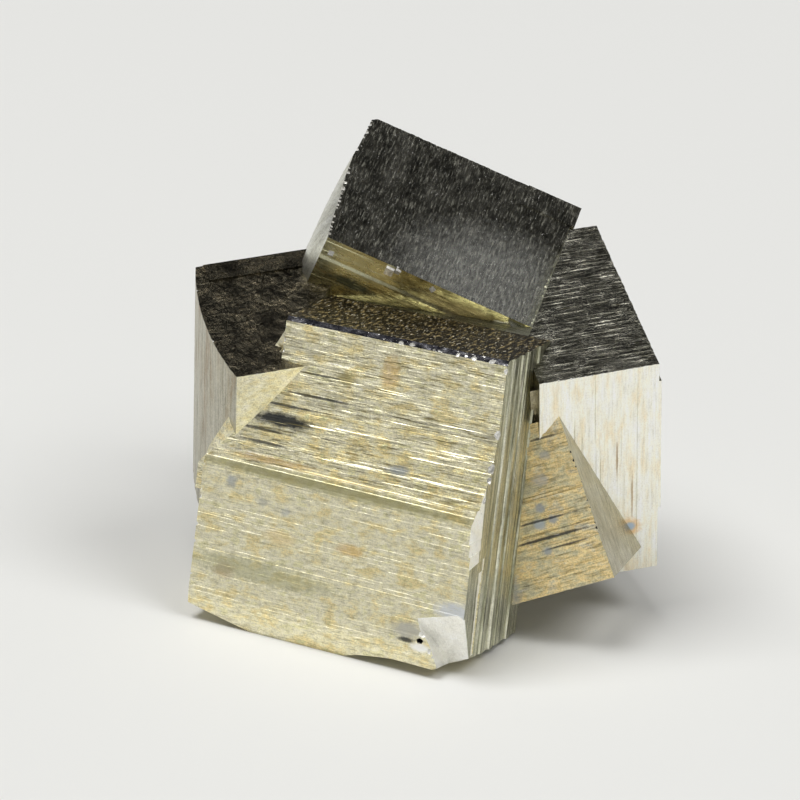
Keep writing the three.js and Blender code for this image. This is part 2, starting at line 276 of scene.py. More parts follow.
def beyond(point, heading, rise, skin):
    """All that lies beyond a plane, as a block: its compass heading (0 is +X, 90 is +Y) and its rise say what
    the plane faces."""
    heading, rise = math.radians(heading), math.radians(rise)
    out = Vector((math.cos(heading) * math.cos(rise), math.sin(heading) * math.cos(rise), math.sin(rise)))
    across = Vector((-out.y, out.x, 0)).normalized()
    turn = Matrix((out, across, out.cross(across))).transposed().to_4x4()
    block = new_block((0, REACH), (-REACH, REACH), (-REACH, REACH), skin)
    return as_object(block, "cutter", Matrix.Translation(Vector(point) + SHIFT) @ turn)


def prism(outline, near, far, name, axes, skin):
    """An outline of x and z points, drawn from near to far along y."""
    bm = bmesh.new()
    face = bm.faces.new([bm.verts.new((x, near, z)) for x, z in outline])
    drawn = bmesh.ops.extrude_face_region(bm, geom=[face])
    far_points = [g for g in drawn["geom"] if isinstance(g, bmesh.types.BMVert)]
    bmesh.ops.translate(bm, vec=(0, far - near, 0), verts=far_points)
    for side in bm.faces:
        side.material_index = skin
    bmesh.ops.recalc_face_normals(bm, faces=bm.faces)
    return as_object(bm, name, axes)


MISSED = 0.25
ROOMS = (0.25, 1.75)
ROOM_SHARE = 0.48
FLATTEST = 0.5


def nibbles(rng, start, end, count, sizes, axes, skin=CHIP):
    """Chips along an edge: small rough lumps, one after another, to be cut away."""
    bm = bmesh.new()
    start, end = Vector(start), Vector(end)
    rooms = [rng.uniform(*ROOMS) for _ in range(count)]
    unit = (end - start).length / sum(rooms)
    reached = 0
    for room in rooms:
        at = start.lerp(end, (reached + room / 2) / sum(rooms))
        reached += room
        size = min(rng.uniform(*sizes), room * unit * ROOM_SHARE)
        turn = Matrix.Rotation(rng.uniform(0, 6.3), 4, Vector([rng.uniform(-1, 1) for _ in range(3)]))
        stretch = Matrix.Diagonal((1, rng.uniform(FLATTEST, 1), rng.uniform(FLATTEST, 1), 1))
        if rng.random() < MISSED:
            continue
        place = Matrix.Translation(at) @ turn @ stretch
        bmesh.ops.create_icosphere(bm, subdivisions=1, radius=size, matrix=place)
    for face in bm.faces:
        face.material_index = skin
    return as_object(bm, "chips", axes)


# %% [markdown]
# The large front crystal. Its front flares out towards the slab below it, a little at the left and a lot at
# the right, in dozens of thin lamellae. The numbers of the two flares are how far down the face a place is
# and how far the face stands out there, at the left end and at the right end. STACK_LEFT is, in the same
# way, how far the lamellae run out to the left.

# %% Front crystal: the lamellae of its front
FLARE_LEFT = [(0, 0.02), (0.62, 0.04), (1.5, 0.08), (2.5, 0.13), (3.46, 0.22), (4.1, 0.29), (4.62, 0.35),
              (5.45, 0.48), (6.25, 0.58), (7.05, 0.66), (8.6, 0.68)]
FLARE_RIGHT = [(0, 0.01), (2.5, 0.02), (3.46, 0.06), (4.1, 0.16), (4.62, 0.26), (5.05, 0.4), (5.45, 0.6),
               (5.85, 0.86), (6.25, 1.05), (6.65, 1.18), (7.05, 1.32), (8.6, 1.36)]
STACK_LEFT = [(0, -10.78), (2.45, -10.8), (2.5, -11.2), (3.4, -11.2), (3.5, -12.2), (5.4, -12.5),
              (5.8, -12.6), (7.4, -14.05), (8.6, -14.05)]
STACK_RIGHT = 0.4
STACK_HEIGHT = 8.6
STACK_WIDTH = 12
BUSY = [(0, 0.4), (2.6, 0.7), (3.4, 1), (6, 1), (7, 0.5)]


def flare(down, share):
    """How far the front stands out: share is 0 at the left end and 1 at the right end."""
    left, right = profile(FLARE_LEFT, down), profile(FLARE_RIGHT, down)
    return left + (right - left) * share


rng = random.Random(11)
stack = new_block((0, 1), (0, 1.2), (-STACK_HEIGHT, 0), LAMELLAE, top=FRONT_TOP, left=UNDER)
stack_lines = (growth_lines(rng, -STACK_HEIGHT, -6.2, 0.03, 0.09, (0.3, 0.8), 0.15)
               + growth_lines(rng, -6.2, -3.2, 0.03, 0.11, (0.3, 0.9), 0.22)
               + growth_lines(rng, -3.2, -0.05, 0.028, 0.09, (0.15, 0.6), 0.35))
stack_middles = middles(stack_lines, -STACK_HEIGHT, 0)


def stack_lift(number, share, height):
    """The lamellae of the front: the flare taken by steps, with ends that fade out along the line."""
    middle = stack_middles[number]
    place = share * STACK_WIDTH
    out = flare(-middle, share)
    busy = profile(BUSY, -middle)
    out += 0.012 * busy * terrace(1, number, place, 0.45, 0.05)
    out += 0.006 * busy * wander(2, number, place, 0.6)
    return out + 0.07 * (height - middle) * wander(3, number, place, 0.25)


carve(stack, "front", 0, 2, stack_lines, even(0, 1, 40), stack_lift)
for v in stack.verts:
    left = profile(STACK_LEFT, -v.co.z)
    v.co.x = left + (STACK_RIGHT - left) * v.co.x
stack_piece = as_object(stack, "stack", FRONT)
print("lamellae on the front:", len(stack_lines), "- triangles:", triangles(stack_piece))

# %% [markdown]
# The right side of the same crystal is ribbed from top to bottom. Four ribs stand out, and fine ones lie
# between. Each rib is given by where it starts and ends, counted from the front, and how far it stands out.

# %% Front crystal: its body and right side
FRONT_WIDTH, FRONT_HEIGHT, SIDE_DEPTH = 10.8, 13.85, 5.3
RIBS = [(0.75, 1.25, 0.07), (1.75, 2.1, 0.1), (2.5, 3.3, 0.06), (3.9, 4.35, 0.09)]
rng = random.Random(12)
body = new_block((-FRONT_WIDTH, 0), (0, SIDE_DEPTH), (-FRONT_HEIGHT, 0), RIBBED, front=LAMELLAE,
                 top=FRONT_TOP)
side_lines = growth_lines(rng, 0.05, SIDE_DEPTH - 0.05, 0.04, 0.2, (0.15, 0.7))
side_middles = middles(side_lines, 0, SIDE_DEPTH)


def side_lift(number, height, depth):
    """The upright lamellae of the right side."""
    middle = side_middles[number]
    out = sum(rise for low, high, rise in RIBS if low < middle < high)
    out += 0.012 * terrace(4, number, height, 0.15, 0.1)
    return out + 0.1 * (depth - middle) * wander(5, number, height, 0.1)


carve(body, "right", 2, 1, side_lines, even(-FRONT_HEIGHT, 0, 24), side_lift)
grain_lines = growth_lines(rng, 0.05, SIDE_DEPTH - 0.05, 0.08, 0.2)


def grain_lift(number, place, depth):
    """A rough grain on the narrow top."""
    return 0.012 * noise.noise(Vector((place * 5, depth * 5, 1.7)))


carve(body, "top", 0, 1, grain_lines, even(-FRONT_WIDTH, 0, 90), grain_lift)
body_piece = as_object(body, "front_body", FRONT)
back = new_block((-FRONT_WIDTH, -1.1), (0.5, 8.6), (-FRONT_HEIGHT, -0.02))
back_piece = as_object(back, "front_back", FRONT)
print("triangles of the body:", triangles(body_piece))

# %% [markdown]
# The slab: one thick lamella on the lower half of the front crystal, turned four degrees against it. Its
# rim at the top is rounded, its face has low wide bands, and below its lower edge the face turns under. A
# band is given by its bottom, top, left and right, and how far it stands out.

# %% Slab
SLAB_LEFT, SLAB_RIGHT, SLAB_BOTTOM, SLAB_TOP = -13.57, 3, -8.55, 0.81
SLAB_PROFILE = [(SLAB_BOTTOM, -0.9), (-7.55, -0.5), (-7.1, -0.28), (-6.55, -0.1), (-6.2, -0.03), (-5.95, 0),
                (0.12, 0), (0.2, -0.02), (0.3, -0.1), (0.54, -0.24), (SLAB_TOP, -0.38)]
SLAB_BANDS = [(-0.75, 0.05, -13.4, -0.8, 0.012), (-3.2, -2.1, -13, -3.1, 0.014),
              (-5.2, -3.8, -13.3, -3.6, 0.02)]
SLAB_RIM = 0.1
rng = random.Random(21)
slab = new_block((SLAB_LEFT, SLAB_RIGHT), (0, 4), (SLAB_BOTTOM, SLAB_TOP), SLAB_FACE)
slab_lines = (growth_lines(rng, SLAB_BOTTOM, SLAB_RIM, 0.045, 0.16, (0.2, 0.7), 0.15)
              + growth_lines(rng, SLAB_RIM, SLAB_TOP, 0.03, 0.06, (0.4, 0.9), 0.15))
slab_middles = middles(slab_lines, SLAB_BOTTOM, SLAB_TOP)


def slab_lift(number, place, height):
    """The slab's face: its profile, its low bands and thin lamellae on both."""
    middle = slab_middles[number]
    out = profile(SLAB_PROFILE, middle if middle > SLAB_RIM else height)
    for low, high, left, right, rise in SLAB_BANDS:
        if low < middle < high:
            out += rise * min(1, max(0, min(place - left, right - place) * 1.5))
    out += 0.006 * terrace(6, number, place, 0.3, -0.05)
    return out + 0.025 * (height - middle) * wander(7, number, place, 0.3)


carve(slab, "front", 0, 2, slab_lines, even(SLAB_LEFT, SLAB_RIGHT, 42), slab_lift)
slab_piece = as_object(slab, "slab", SLAB)
print("lamellae on the slab:", len(slab_lines), "- triangles:", triangles(slab_piece))

# %% [markdown]
# Flat cuts shape the slab's ends. The smooth facet at its right end twists, so it is cut in steps, level by
# level. The lower right corner is broken off: a plane that leans under, within a jagged outline. A plane is
# given by a point on it, its heading, its rise and the skin that it leaves.

# %% Cuts on the front crystal and the slab
END_LOW, END_HIGH = Vector((-0.07, -0.32, 0)), Vector((0.2, 0.31, 10))
END_TURNS = [(1, -11), (3.9, -11.5), (4.6, -17), (5.8, -24), (6.8, -31), (10, -32)]
END_BOTTOM, END_TOP, END_LEVELS = 1, 10, 16
END_OVERLAP = 0.001


def end_cutters():
    """The twisted facet at the right end of the slab, as cutters for thin levels."""
    cutters = []
    for k in range(END_LEVELS):
        bottom = END_BOTTOM + (END_TOP - END_BOTTOM) * k / END_LEVELS
        top = END_BOTTOM + (END_TOP - END_BOTTOM) * (k + 1) / END_LEVELS
        level = (bottom + top) / 2
        cutter = beyond(END_LOW.lerp(END_HIGH, level / END_HIGH.z), profile(END_TURNS, level), 0, END)
        span = new_block((-REACH, REACH), (-REACH, REACH), (bottom, top + END_OVERLAP), END)
        cutters.append(combine(cutter, [as_object(span, "span", FLOOR)], "INTERSECT"))
    return cutters


BREAK_OUTLINE = [(-2.05, -4.65), (-1.66, -4.2), (-1.27, -3.96), (-0.7, -3.93), (0, -4.08), (0.8, -4.5),
                 (1.4, -9), (-0.6, -9), (-0.9, -6.7), (-1.2, -5.9), (-1.5, -5.5), (-1.86, -5.14)]
HOLLOW_OUTLINE = [(-5.8, -9), (-5.7, -7.35), (-4.9, -7.1), (-4.1, -6.97), (-3.2, -6.86), (-1.7, -6.88),
                  (-0.7, -6.9), (-0.6, -9)]
SIDE_OF_FRONT = (FRONT_CORNER, FRONT_YAW, 0, RIBBED)
BREAK_PLANE = ((-1.72, 0.42, 0), -106.7, -21.1, BREAK)
LIFTED_CORNER = ((0, 0, 0.85), -40.2, -63.1, SLAB_FACE)
LIFTED_LEFT = ((-10.1, 3.13, 0), 155, -76, UNDER)
broken = combine(prism(BREAK_OUTLINE, -1, 3, "break", SLAB, BREAK), [beyond(*BREAK_PLANE)], "INTERSECT")
combine(stack_piece, end_cutters() + [beyond(*SIDE_OF_FRONT)], "DIFFERENCE")
combine(slab_piece, end_cutters() + [
    beyond(*SIDE_OF_FRONT),
    beyond(*LIFTED_CORNER),
    beyond(*LIFTED_LEFT),
    broken,
    prism(HOLLOW_OUTLINE, -1, 1.6, "hollow", SLAB, SLAB_FACE),
], "DIFFERENCE")
print("slab after its cuts:", triangles(slab_piece), "triangles")

# %% [markdown]
# The long edge at the top of the front is worn to a narrow bevel, and chips follow it to the right. Chips
# are small lumps strung along an edge and cut away in one go.

# %% Worn edges of the front crystal
EDGE_BEVEL = 0.22
EDGE_HALF = EDGE_BEVEL * math.sqrt(2) / 2
EDGE_CHIPS = [(0.45, 0.2), (3.4, 0.32), (4.95, 0.34), (5.45, 0.26), (6.3, 0.22)]
CHIP_ROUND, CHIP_SUNK, CHIP_ASIDE = 0.8, 0.8, 0.02
rng = random.Random(14)
bevel = new_block((-REACH / 2, REACH / 2), (-EDGE_HALF, EDGE_HALF), (-EDGE_HALF, EDGE_HALF), WORN_PAINTED_DARK)
bevel.transform(Matrix.Rotation(math.radians(45), 4, "X"))
wear = [as_object(bevel, "bevel", FRONT)]
for down, size in EDGE_CHIPS:
    chip = bmesh.new()
    middle = Matrix.Translation((CHIP_ASIDE, -flare(down, 1) * CHIP_SUNK, -down))
    turn = Matrix.Rotation(down, 4, "Y")
    bmesh.ops.create_icosphere(chip, subdivisions=1, radius=size * CHIP_ROUND, matrix=middle @ turn)
    for face in chip.faces:
        face.material_index = CHIP
    wear.append(as_object(chip, "chip", FRONT))
wear.append(nibbles(rng, (-5.6, 0.02, -0.12), (-0.3, 0.02, -0.1), 13, (0.14, 0.26), FRONT))
wear.append(nibbles(rng, (-FRONT_WIDTH, -0.06, -0.4), (-FRONT_WIDTH, -0.12, -2.4), 9, (0.08, 0.15), FRONT))
wear.append(nibbles(rng, (0, -0.06, -0.6), (0, -0.1, -3.2), 15, (0.04, 0.09), FRONT))
front_piece = combine(body_piece, [back_piece, stack_piece], "UNION")
combine(front_piece, wear, "DIFFERENCE")
combine(slab_piece, [
    nibbles(rng, (SLAB_LEFT, 0, 0.1), (SLAB_LEFT, 0.1, -5.7), 13, (0.1, 0.19), SLAB, END),
    nibbles(rng, (-2.1, 0.02, -4.7), (-0.9, 0.02, -6.6), 7, (0.14, 0.24), SLAB, BREAK),
    nibbles(rng, (-3, 0.04, -5.8), (-1.6, 0.04, -5.6), 3, (0.27, 0.38), SLAB, WORN_PAINTED_DARK),
], "DIFFERENCE")
print("front crystal:", triangles(front_piece), "triangles")

# %% [markdown]
# The top crystal leans to the left and forward. Its dark top has fine lines that run to the back, and a
# grain of small pits. Its left side is bowed, more so below its upper edge, and its narrow front is
# stepped, with tiny crystals on its upper edge.

# %% Top crystal
TOP_WIDTH, TOP_DEPTH, TOP_HEIGHT = 10.15, 9.45, 8.8
BOW_HIGH = [(0, 0), (1.6, 0.13), (3.1, 0.2), (4.6, 0.33), (6.2, 0.38), (7.4, 0.3), (9.2, 0.24), (9.45, 0)]
BOW_LOW = [(0, 0), (0.5, 0.36), (1.2, 0.58), (2.6, 0.64), (4.4, 0.6), (6.2, 0.5), (7.8, 0.3), (9.45, 0)]
BOW_DOWN = 1.9
BOW_LEVELS = [-0.15, -0.35, -0.6, -0.9, -1.2, -1.6, -2, -3, -5]
LEDGE_TOP, LEDGE_OUT = -1.15, 0.09
rng = random.Random(31)
top = new_block((-TOP_WIDTH, 0), (0, TOP_DEPTH), (-TOP_HEIGHT, 0), GREY, top=TOP_DARK, front=OLIVE)
bow_lines = growth_lines(rng, 0, TOP_DEPTH, 0.1, 0.35, (0.1, 0.4))


def top_bow(number, height, depth):
    """The bowed left side of the top crystal, which bows out more below its upper edge."""
    share = min(1, max(0, -height / BOW_DOWN))
    share = share * (2 - share)
    out = profile(BOW_HIGH, depth) * (1 - share) + profile(BOW_LOW, depth) * share
    return out + 0.012 * terrace(18, number, height, 0.3, 0) * min(1, depth)


carve(top, "left", 2, 1, bow_lines, BOW_LEVELS, top_bow)
top_lines = growth_lines(rng, -TOP_WIDTH + 0.03, -0.03, 0.05, 0.16)


def top_lift(number, depth, across):
    """Fine lines from front to back, with a grain."""
    out = 0.008 * wander(8, number, depth, 0.3)
    return out + 0.012 * noise.noise(Vector((across * 5, depth * 3, 3.3)))


carve(top, "top", 1, 0, top_lines, even(0, TOP_DEPTH, 60), top_lift)
top_front_lines = growth_lines(rng, -3.6, -0.05, 0.05, 0.2)


def top_front_lift(number, place, height):
    """The narrow front: a ledge below, and thin lamellae."""
    ledge = LEDGE_OUT if height < LEDGE_TOP else 0
    return ledge + 0.012 * terrace(9, number, place, 0.3, 0.1)


carve(top, "front", 0, 2, top_front_lines, even(-TOP_WIDTH, 0, 20), top_front_lift)
hidden_lines(top, "back", 2, 0, -TOP_WIDTH, 0, even(-TOP_HEIGHT, 0, 8), 32)
hidden_lines(top, "right", 1, 2, -TOP_HEIGHT, 0, even(0, TOP_DEPTH, 8), 33)
top_piece = as_object(top, "top_crystal", TOP)

# %% Top crystal: its step, tiny crystals and worn edges
TINY_CRYSTALS = [(-9.7, -0.8, 0.17), (-6.95, -0.3, 0.26), (-6.6, -0.15, 0.16), (-4.8, -0.3, 0.15)]
TINY_SINK, TINY_SHRINK = 0.02, 0.75
step = new_block((-2.45, 0.22), (TOP_DEPTH - 1.5, TOP_DEPTH + 0.03), (-1.2, 0.04), TOP_DARK)
extras = [as_object(step, "step", TOP)]
for place, height, size in TINY_CRYSTALS:
    tiny = new_block((-size, size), (-size, size), (-size, size), CHIP)
    turn = Matrix.Rotation(0.7 + place, 4, Vector((1, 1, 0.4)))
    tiny.transform(Matrix.Translation((place, TINY_SINK, height)) @ turn @ Matrix.Scale(TINY_SHRINK, 4))
    extras.append(as_object(tiny, "tiny", TOP))
combine(top_piece, extras, "UNION")
combine(top_piece, [
    nibbles(rng, (-10.14, 0.1, 0), (-10.34, 3.1, 0), 11, (0.07, 0.14), TOP),
    nibbles(rng, (-10.34, 3.2, 0), (-10.53, 6.2, 0), 10, (0.1, 0.2), TOP),
    nibbles(rng, (-10.53, 6.3, 0), (-10.4, 9.2, 0), 9, (0.12, 0.2), TOP),
    nibbles(rng, (-10.1, 9.48, 0.03), (-2.6, 9.48, 0.03), 46, (0.04, 0.1), TOP, TOP_DARK),
    nibbles(rng, (0, 0.2, 0.02), (0, 7.8, 0.02), 34, (0.05, 0.13), TOP, TOP_DARK),
], "DIFFERENCE")
print("top crystal:", triangles(top_piece), "triangles")

# %% [markdown]
# The left crystal has a bowed left side with upright growth lines, a rough dark top and a small triangle of
# its front that the front crystal leaves bare.

# %% Left crystal
LEFT_WIDTH, LEFT_DEPTH, LEFT_HEIGHT = 7.2, 8.1, 11.6
BULGE, BULGE_FULLNESS, BACK_INSET = 0.54, 0.8, 0.2
rng = random.Random(41)
left = new_block((0, LEFT_WIDTH), (0, LEFT_DEPTH), (-LEFT_HEIGHT, 0), WARM, top=LEFT_DARK, front=PALE)
left_lines = growth_lines(rng, 0.05, LEFT_DEPTH - 0.05, 0.06, 0.25, (0.2, 0.7))


def left_bow(number, height, depth):
    """The bowed side: a long curve from front to back, with upright lamellae."""
    along = depth / LEFT_DEPTH
    out = BULGE * math.sin(math.pi * min(1, max(0, along))) ** BULGE_FULLNESS - BACK_INSET * along
    return out + 0.01 * terrace(10, number, height, 0.25, 0.1) + 0.004 * wander(11, number, height, 0.2)


carve(left, "left", 2, 1, left_lines, even(-LEFT_HEIGHT, 0, 20), left_bow)
rough_lines = growth_lines(rng, 0.05, LEFT_WIDTH - 0.05, 0.07, 0.16)


def rough_lift(number, depth, across):
    """A grain of small pits and bumps on the dark top."""
    grain = noise.noise(Vector((across * 5, depth * 5, 7.7)))
    return 0.02 * grain + 0.02 * noise.noise(Vector((across, depth, 2.2)))


carve(left, "top", 1, 0, rough_lines, even(0, LEFT_DEPTH, 66), rough_lift)
hidden_lines(left, "back", 2, 0, 0, LEFT_WIDTH, even(-LEFT_HEIGHT, 0, 8), 42)
left_piece = as_object(left, "left_crystal", LEFT)
plate = new_block((0.5, 7), (6.9, 8.05), (-1, 0.1), LEFT_DARK)
combine(left_piece, [as_object(plate, "plate", LEFT)], "UNION")
combine(left_piece, [
    as_object(new_block((-FRONT_WIDTH, REACH), (-REACH, REACH), (-0.06, REACH)), "over", FRONT),
    nibbles(rng, (-0.3, 1, 0.04), (-0.52, 3.4, 0.04), 12, (0.05, 0.13), LEFT),
    nibbles(rng, (-0.42, 5.4, 0.04), (0, 8, 0.04), 14, (0.05, 0.12), LEFT),
    nibbles(rng, (0.1, -0.02, 0.02), (2.7, -0.02, 0.02), 14, (0.03, 0.08), LEFT),
], "DIFFERENCE")
print("left crystal:", triangles(left_piece), "triangles")

# %% [markdown]
# The right crystal shows a bright cream front with upright growth lines, and a dark top with light ones.
# Part of it is buried in the other crystals, and a narrow swell runs down its right edge.

# %% Right crystal
RIGHT_WIDTH, RIGHT_DEPTH, RIGHT_HEIGHT = 5.6, 10.7, 11.85
rng = random.Random(51)
right = new_block((-RIGHT_WIDTH, 0), (0, RIGHT_DEPTH), (-RIGHT_HEIGHT, 0), SMOKY, top=RIGHT_DARK, front=CREAM)
right_lines = growth_lines(rng, -RIGHT_WIDTH + 0.03, -0.03, 0.04, 0.18, (0.15, 0.7))


def right_lift(number, height, place):
    """Upright lamellae on the bright front."""
    return 0.012 * terrace(12, number, height, 0.15, 0) + 0.006 * wander(13, number, height, 0.2)


carve(right, "front", 2, 0, right_lines, even(-RIGHT_HEIGHT, 0, 24), right_lift)
right_top_lines = growth_lines(rng, 0.03, RIGHT_DEPTH - 0.03, 0.05, 0.22, (0.2, 0.8))


def right_top_lift(number, place, depth):
    """Fine lines from side to side on the dark top."""
    out = 0.012 * terrace(14, number, place, 0.5, -0.05) + 0.006 * wander(15, number, place, 0.8)
    return out + 0.01 * noise.noise(Vector((place * 4, depth * 5, 5.1)))


carve(right, "top", 0, 1, right_top_lines, even(-RIGHT_WIDTH, 0, 40), right_top_lift)
hidden_lines(right, "right", 2, 1, 0, RIGHT_DEPTH, even(-RIGHT_HEIGHT, 0, 8), 52)
hidden_lines(right, "back", 2, 0, -RIGHT_WIDTH, 0, even(-RIGHT_HEIGHT, 0, 8), 53)
right_piece = as_object(right, "right_crystal", RIGHT)
buried = new_block((-RIGHT_WIDTH - 3.2, -RIGHT_WIDTH + 0.5), (0.7, RIGHT_DEPTH - 0.4),
                   (-RIGHT_HEIGHT + 1.2, -0.9), SMOKY)
swell = new_block((-0.5, 0.14), (0.02, 4), (-8.4, -1), SMOKY, front=CREAM)
combine(right_piece, [as_object(buried, "buried", RIGHT), as_object(swell, "swell", RIGHT)], "UNION")
combine(right_piece, [
    as_object(new_block((-REACH, 0), (-REACH, REACH), (-0.08, REACH)), "over", TOP),
    nibbles(rng, (-5.4, -0.02, 0.02), (-0.1, -0.02, 0.02), 26, (0.04, 0.12), RIGHT),
    nibbles(rng, (0.02, 0.3, 0.04), (0.02, 10.5, 0.04), 40, (0.06, 0.16), RIGHT, RIGHT_DARK),
], "DIFFERENCE")
print("right crystal:", triangles(right_piece), "triangles")

# %% [markdown]
# The small slanted crystal is the most golden one. Its front is crossed by dark, sharp ledges.

# %% Slanted crystal
LEDGES = [(-2.3, -1.1, 0.05), (-4.1, -3.4, 0.07), (-6.4, -5, 0.08)]
SLANTED_WIDTH, SLANTED_DEPTH, SLANTED_HEIGHT = 6.4, 5.8, 7.85
rng = random.Random(61)
slanted = new_block((-SLANTED_WIDTH, 0), (0, SLANTED_DEPTH), (-SLANTED_HEIGHT, 0), SMOKY, front=GOLD)
slanted_lines = growth_lines(rng, -SLANTED_HEIGHT + 0.05, -0.05, 0.05, 0.35, (0.02, 0.2))
slanted_middles = middles(slanted_lines, -SLANTED_HEIGHT, 0)


def slanted_lift(number, place, height):
    """Ledges across the golden front."""
    middle = slanted_middles[number]
    out = sum(rise for low, high, rise in LEDGES if low < middle < high)
    return out + 0.025 * terrace(16, number, place, 0.3, 0) + 0.006 * wander(17, number, place, 0.5)


carve(slanted, "front", 0, 2, slanted_lines, even(-SLANTED_WIDTH, 0, 22), slanted_lift)
slanted_piece = as_object(slanted, "slanted_crystal", SLANTED)
combine(slanted_piece, [
    nibbles(rng, (0, -0.04, -1.6), (0, -0.05, -7.2), 26, (0.03, 0.1), SLANTED, RIGHT_DARK),
    nibbles(rng, (-0.9, -0.1, -7.75), (-0.1, -0.1, -7.7), 3, (0.15, 0.2), SLANTED, RIGHT_DARK),
], "DIFFERENCE")
print("slanted crystal:", triangles(slanted_piece), "triangles")

# %% [markdown]
# Behind and below stands one more crystal, which the front view hides. It carries the back of the cluster.

# %% Rear crystal
REAR_WIDTH, REAR_DEPTH, REAR_HEIGHT = 9.8, 9.1, 12
rear = new_block((-REAR_WIDTH, 0), (0, REAR_DEPTH), (-REAR_HEIGHT, 0), SMOKY)
hidden_lines(rear, "back", 0, 2, -REAR_HEIGHT, 0, even(-REAR_WIDTH, 0, 8), 71)
hidden_lines(rear, "right", 1, 2, -REAR_HEIGHT, 0, even(0, REAR_DEPTH, 8), 72)
rear_piece = as_object(rear, "rear_crystal", REAR)
print("rear crystal:", triangles(rear_piece), "triangles")

# %% [markdown]
# All crystals become one mesh, cut off level where the specimen stands. The mesh is in millimetres until
# here, and Blender and the frame work in metres, so it is scaled last of all, in its data and not by its
# object.

# %% All crystals as one
neighbours = [slab_piece, top_piece, left_piece, right_piece, slanted_piece, rear_piece]
cluster = combine(front_piece, neighbours, "UNION")
below = new_block((-REACH, REACH), (-REACH, REACH), (-REACH, 0), SMOKY)
combine(cluster, [as_object(below, "below", FLOOR)], "DIFFERENCE")
cluster.name = "pyrite"
cluster.data.transform(Matrix.Scale(MM, 4))
print("whole cluster:", triangles(cluster), "triangles,", len(cluster.data.materials), "materials")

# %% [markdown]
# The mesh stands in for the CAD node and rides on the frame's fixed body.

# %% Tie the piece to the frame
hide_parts("pyrite_cluster")
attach(cluster, "root")
print("pyrite replaces pyrite_cluster")

# %% [markdown]
# The finish of nearly every face is a brassy metal. Four noises colour it: a wide one for tarnish, two
# small ones for mottling and grain, and one stretched along the growth lines for streaks. All are read in
# the crystal's own axes, which a Mapping node works out from Object coordinates, so the streaks run along
# the face. A fine bump adds the lines that are too thin for the mesh.

# %% Helpers for the finishes
def skin_tree(skin, axes):
    """A tree with the shader, and coordinates in one crystal's axes, in millimetres."""
    skin.use_nodes = True
    tree = skin.node_tree
    coordinates = tree.nodes.new("ShaderNodeTexCoord")
    place = tree.nodes.new("ShaderNodeMapping")
    place.vector_type = "TEXTURE"
    place.inputs["Location"].default_value = axes.to_translation() * MM
    place.inputs["Rotation"].default_value = axes.to_euler("XYZ")
    place.inputs["Scale"].default_value = (MM, MM, MM)
    tree.links.new(coordinates.outputs["Object"], place.inputs["Vector"])
    return tree, tree.nodes["Principled BSDF"], place.outputs["Vector"]


def noise_node(tree, vector, stretch, detail=4, roughness=0.6):
    """A noise with its own pace along each axis, in waves a millimetre."""
    mapping = tree.nodes.new("ShaderNodeMapping")
    mapping.inputs["Scale"].default_value = stretch
    tree.links.new(vector, mapping.inputs["Vector"])
    texture = tree.nodes.new("ShaderNodeTexNoise")
    texture.inputs["Scale"].default_value = 1
    texture.inputs["Detail"].default_value = detail
    texture.inputs["Roughness"].default_value = roughness
    tree.links.new(mapping.outputs["Vector"], texture.inputs["Vector"])
    return texture.outputs["Fac"]


def ramp_node(tree, value, stops):
    """Colours along a value."""
    ramp = tree.nodes.new("ShaderNodeValToRGB")
    elements = ramp.color_ramp.elements
    while len(elements) < len(stops):
        elements.new(0.5)
    for element, (at, colour) in zip(elements, stops):
        element.position = at
        element.color = (*colour, 1)
    tree.links.new(value, ramp.inputs["Fac"])
    return ramp.outputs["Color"]


def mix_node(tree, share, first, second, blend="MIX"):
    """Mixes two colours by a share."""
    mix = tree.nodes.new("ShaderNodeMix")
    mix.data_type = "RGBA"
    mix.blend_type = blend
    for socket, value in ((mix.inputs[0], share), (mix.inputs[6], first), (mix.inputs[7], second)):
        if isinstance(value, bpy.types.NodeSocket):
            tree.links.new(value, socket)
        else:
            socket.default_value = value
    return mix.outputs[2]


def range_node(tree, value, low, high, to_low, to_high):
    """A value moved from one range to another."""
    node = tree.nodes.new("ShaderNodeMapRange")
    for name, number in (("From Min", low), ("From Max", high), ("To Min", to_low), ("To Max", to_high)):
        node.inputs[name].default_value = number
    tree.links.new(value, node.inputs["Value"])
    return node.outputs["Result"]


PATCH_FULL, PATCH_GONE = 1.1, 1.7


def patch_node(tree, local, centre, radii, ragged):
    """A soft-edged patch: 1 at its centre and 0 outside its radii."""
    away = tree.nodes.new("ShaderNodeVectorMath")
    away.operation = "SUBTRACT"
    away.inputs[1].default_value = centre
    tree.links.new(local, away.inputs[0])
    scaled = tree.nodes.new("ShaderNodeVectorMath")
    scaled.operation = "DIVIDE"
    scaled.inputs[1].default_value = radii
    tree.links.new(away.outputs["Vector"], scaled.inputs[0])
    length = tree.nodes.new("ShaderNodeVectorMath")
    length.operation = "LENGTH"
    tree.links.new(scaled.outputs["Vector"], length.inputs[0])
    wobble = tree.nodes.new("ShaderNodeMath")
    wobble.operation = "ADD"
    tree.links.new(length.outputs["Value"], wobble.inputs[0])
    tree.links.new(ragged, wobble.inputs[1])
    return range_node(tree, wobble.outputs["Value"], PATCH_FULL, PATCH_GONE, 1, 0)


# %% [markdown]
# One function makes each finish. It takes the colours of the tarnish, which on the dark faces carry painted
# dark reflection, the pace of the streaks along the three axes of the crystal, how rough the face is and how
# strong its bump, a list of glitters (pace, threshold, colour and how metallic the specks are), which are
# mostly painted glints and painted dark lines, and a list of single spots: centre, radii, colour and
# strength.
# Most spots are tarnish; some are painted shade, painted reflection or painted highlight.

# %% The finish of a face
GRAIN = 0.02 * MM
SPECK_PACE, FINE_PACE = (3.5, 3.5, 3.5), (13, 13, 13)
GLOSS_SPAN, HAIR_PACE = 0.08, 2.2


def shade_by(tree, colour, value, share, dark, light):
    """Multiplies a colour by a noise, from dark to light."""
    shades = ramp_node(tree, value, [(0.34, dark), (0.5, (1, 1, 1)), (0.66, light)])
    return mix_node(tree, share, colour, shades, "MULTIPLY")


